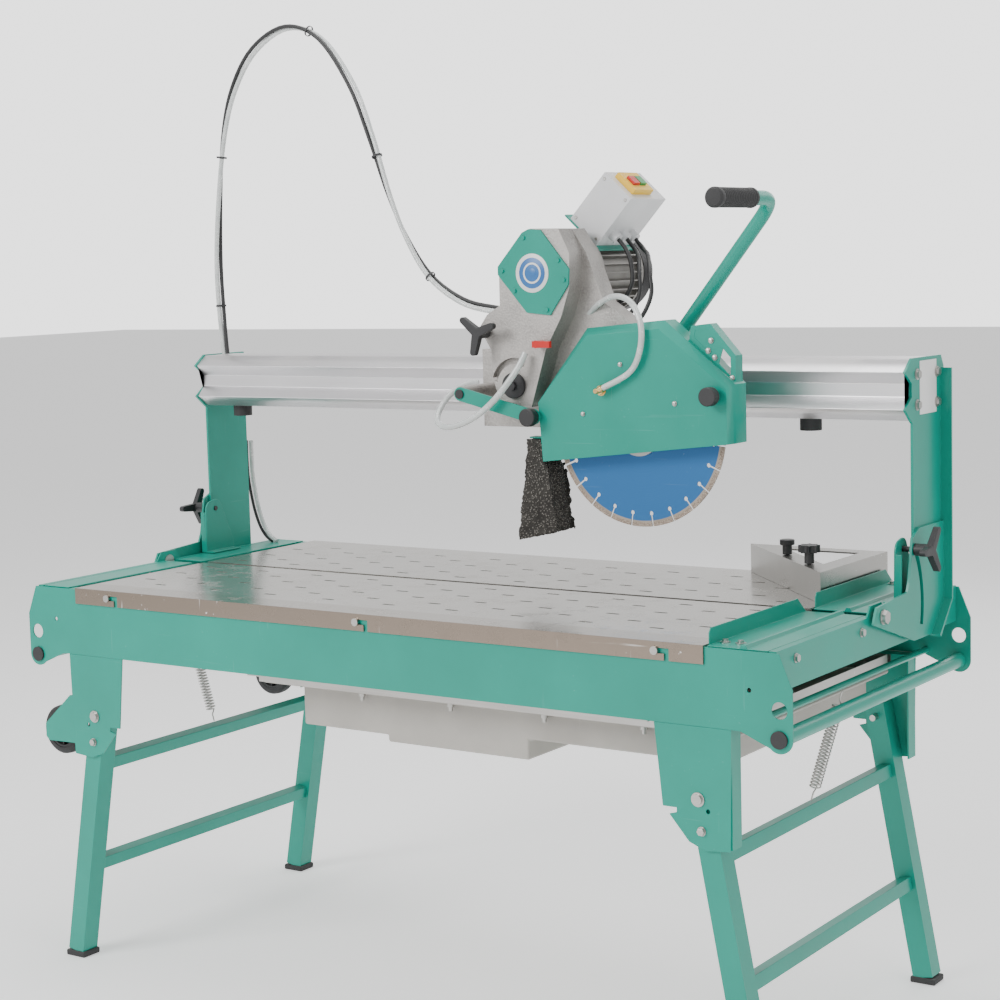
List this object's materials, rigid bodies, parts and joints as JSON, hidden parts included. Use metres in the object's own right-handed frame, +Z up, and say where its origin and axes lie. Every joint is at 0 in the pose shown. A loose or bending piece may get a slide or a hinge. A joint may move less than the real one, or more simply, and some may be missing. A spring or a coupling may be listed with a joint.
{
  "type": "wet tile saw",
  "caption": "Bridge saw for tile and stone: folding steel frame, water tank, slotted table, tilting beam, and a plunging motor head with a guarded diamond disc.",
  "frame": {"origin": "on the floor, under the middle of the frame", "axes": "+X along the beam, -Y towards the operator, +Z up"},
  "size_m": [1.74, 0.7556, 1.891],
  "materials": {
    "green_paint": "semi-gloss powder coat",
    "stainless": "brushed stainless",
    "zinc": "zinc plated",
    "extrusion": "satin anodised",
    "casting": "as-cast aluminium",
    "black_plastic": "matte",
    "black_rubber": "matte",
    "tank_plastic": "matte moulded",
    "box_plastic": "satin",
    "switch_red": "gloss",
    "switch_green": "gloss",
    "blade_steel": "lacquered steel",
    "foam": "open-cell foam",
    "hose": "translucent",
    "cable_jacket": "satin"
  },
  "bodies": {
    "frame": {"front_panel": "green_paint", "rear_panel": "green_paint", "end_panels": "green_paint", "lift_tubes": "green_paint", "tube_caps": "black_plastic", "leg_brackets": "green_paint", "frame_bolts": "zinc", "end_trays": "green_paint", "tilt_quadrants": "green_paint", "water_tank": "tank_plastic", "tank_rails": "zinc", "pump": "black_plastic", "spring_left": "zinc", "spring_right": "zinc"},
    "front_wheel": {"wheel_front": "black_rubber"},
    "rear_wheel": {"wheel_rear": "black_rubber"},
    "left_legs": {"legs_left": "green_paint", "rails_left": "green_paint", "feet_left": "black_rubber"},
    "right_legs": {"legs_right": "green_paint", "rails_right": "green_paint", "feet_right": "black_rubber"},
    "front_table": {"table_front": "stainless"},
    "rear_table": {"table_rear": "stainless"},
    "guide": {"guide_plate": "stainless", "guide_knob": "black_plastic"},
    "guide_clamp": {"guide_clamp_knob": "black_plastic"},
    "left_tilt_knob": {"tilt_knob_left": "black_plastic"},
    "right_tilt_knob": {"tilt_knob_right": "black_plastic"},
    "bridge": {"uprights": "green_paint", "beam": "extrusion", "bridge_screws": "zinc", "bumpers": "black_rubber", "cable_arch": "cable_jacket"},
    "carriage_body": {"carriage": "casting", "plunge_pin": "black_plastic"},
    "front_left_roller": {"roller_front_left": "zinc"},
    "front_right_roller": {"roller_front_right": "zinc"},
    "rear_left_roller": {"roller_rear_left": "zinc"},
    "rear_right_roller": {"roller_rear_right": "zinc"},
    "link": {"arm_link": "green_paint"},
    "head": {"head_casting": "casting", "belt_cover": "green_paint", "motor_body": "casting", "belt": "black_rubber", "switch_box": "box_plastic", "switch_plate": "green_paint", "handle": "green_paint", "grip": "black_rubber", "supply_hose": "hose"},
    "motor_rotor": {"rotor": "zinc"},
    "start": {"start_button": "switch_green"},
    "stop": {"stop_button": "switch_red"},
    "lock_knob": {"head_knob": "black_plastic"},
    "disc": {"spindle": "zinc", "blade": "blade_steel"},
    "guard_body": {"guard": "green_paint", "guard_knobs": "black_plastic", "splash_foam": "foam"},
    "tap": {"water_tap": "switch_red"}
  },
  "joints": [
    {"name": "left_leg_fold", "type": "hinge", "parent": "frame", "child": "left_legs", "pos_m": [-0.677, 0, 0.505], "axis": [0, -1, 0], "range_deg": [0, 100.5], "deforming": ["spring_left"]},
    {"name": "right_leg_fold", "type": "hinge", "parent": "frame", "child": "right_legs", "pos_m": [0.677, 0, 0.505], "axis": [0, 1, 0], "range_deg": [0, 100.5], "deforming": ["spring_right"]},
    {"name": "front_wheel_roll", "type": "hinge", "parent": "frame", "child": "front_wheel", "pos_m": [-0.803, -0.325, 0.459], "axis": [0, 1, 0], "continuous": true},
    {"name": "rear_wheel_roll", "type": "hinge", "parent": "frame", "child": "rear_wheel", "pos_m": [-0.803, 0.325, 0.459], "axis": [0, 1, 0], "continuous": true},
    {"name": "front_table_unhook", "type": "slide", "parent": "frame", "child": "front_table", "axis": [-1, 0, 0], "range_m": [0, 0.02]},
    {"name": "rear_table_unhook", "type": "slide", "parent": "frame", "child": "rear_table", "axis": [-1, 0, 0], "range_m": [0, 0.02]},
    {"name": "guide_slide", "type": "slide", "parent": "frame", "child": "guide", "axis": [0, -1, 0], "range_m": [0, 0.04]},
    {"name": "guide_clamp_turn", "type": "hinge", "parent": "guide", "child": "guide_clamp", "pos_m": [0.627, 0.15, 0.81], "axis": [0, 0, 1], "range_deg": [0, 180]},
    {"name": "left_tilt_lock", "type": "hinge", "parent": "frame", "child": "left_tilt_knob", "pos_m": [-0.82, 0.15089, 0.85466], "axis": [-1, 0, 0], "range_deg": [0, 180]},
    {"name": "right_tilt_lock", "type": "hinge", "parent": "frame", "child": "right_tilt_knob", "pos_m": [0.82, 0.15089, 0.85466], "axis": [1, 0, 0], "range_deg": [0, 180]},
    {"name": "bridge_tilt", "type": "hinge", "parent": "frame", "child": "bridge", "pos_m": [0, 0.01, 0.756], "axis": [1, 0, 0], "range_deg": [0, 45]},
    {"name": "carriage_travel", "type": "slide", "parent": "bridge", "child": "carriage_body", "axis": [1, 0, 0], "range_m": [-0.69, 0.385], "deforming": ["cable_arch"]},
    {"name": "front_left_roll", "type": "hinge", "parent": "carriage_body", "child": "front_left_roller", "pos_m": [0.001, 0.1156, 1.135], "axis": [0, 0, 1], "continuous": true},
    {"name": "front_right_roll", "type": "hinge", "parent": "carriage_body", "child": "front_right_roller", "pos_m": [0.164, 0.1156, 1.135], "axis": [0, 0, 1], "continuous": true},
    {"name": "rear_left_roll", "type": "hinge", "parent": "carriage_body", "child": "rear_left_roller", "pos_m": [0.001, 0.3044, 1.135], "axis": [0, 0, 1], "continuous": true},
    {"name": "rear_right_roll", "type": "hinge", "parent": "carriage_body", "child": "rear_right_roller", "pos_m": [0.164, 0.3044, 1.135], "axis": [0, 0, 1], "continuous": true},
    {"name": "plunge", "type": "hinge", "parent": "carriage_body", "child": "head", "pos_m": [0.105, 0.03, 1.146], "axis": [0, 1, 0], "range_deg": [0, 39], "deforming": ["splash_foam", "supply_hose"]},
    {"name": "link_swing", "type": "hinge", "parent": "carriage_body", "child": "link", "pos_m": [-0.0055, -0.038, 1.13], "axis": [0, 1, 0], "range_deg": [0, 57]},
    {"name": "guard_level", "type": "hinge", "parent": "head", "child": "guard_body", "pos_m": [0.36, 0.01, 1.064], "axis": [0, 1, 0], "range_deg": [-34, 0]},
    {"name": "disc_spin", "type": "hinge", "parent": "head", "child": "disc", "pos_m": [0.36, 0.01, 1.064], "axis": [0, 1, 0], "continuous": true},
    {"name": "motor_spin", "type": "hinge", "parent": "head", "child": "motor_rotor", "pos_m": [0.155, 0.11, 1.351], "axis": [0, 1, 0], "continuous": true},
    {"name": "head_lock", "type": "hinge", "parent": "head", "child": "lock_knob", "pos_m": [0.045, -0.02, 1.246], "axis": [0, 1, 0], "range_deg": [0, 180]},
    {"name": "tap_turn", "type": "hinge", "parent": "head", "child": "tap", "pos_m": [0.167, -0.03, 1.224], "axis": [0, 1, 0], "range_deg": [0, 90]},
    {"name": "start_press", "type": "slide", "parent": "head", "child": "start", "axis": [-0.682, 0, -0.7314], "range_m": [0, 0.003], "stiffness_N_per_m": 400, "springref_m": -0.001},
    {"name": "stop_press", "type": "slide", "parent": "head", "child": "stop", "axis": [-0.682, 0, -0.7314], "range_m": [0, 0.003], "stiffness_N_per_m": 400, "springref_m": -0.001}
  ],
  "couplings": [
    {"joint": "guard_level", "follows": "plunge", "ratio": -0.846},
    {"joint": "link_swing", "follows": "plunge", "ratio": 1.438},
    {"joint": "motor_spin", "follows": "disc_spin", "ratio": 0.76087},
    {"joint": "front_left_roll", "follows": "carriage_travel", "rad_per_m": 80.645},
    {"joint": "front_right_roll", "follows": "carriage_travel", "rad_per_m": 80.645},
    {"joint": "rear_left_roll", "follows": "carriage_travel", "rad_per_m": -80.645},
    {"joint": "rear_right_roll", "follows": "carriage_travel", "rad_per_m": -80.645}
  ]
}
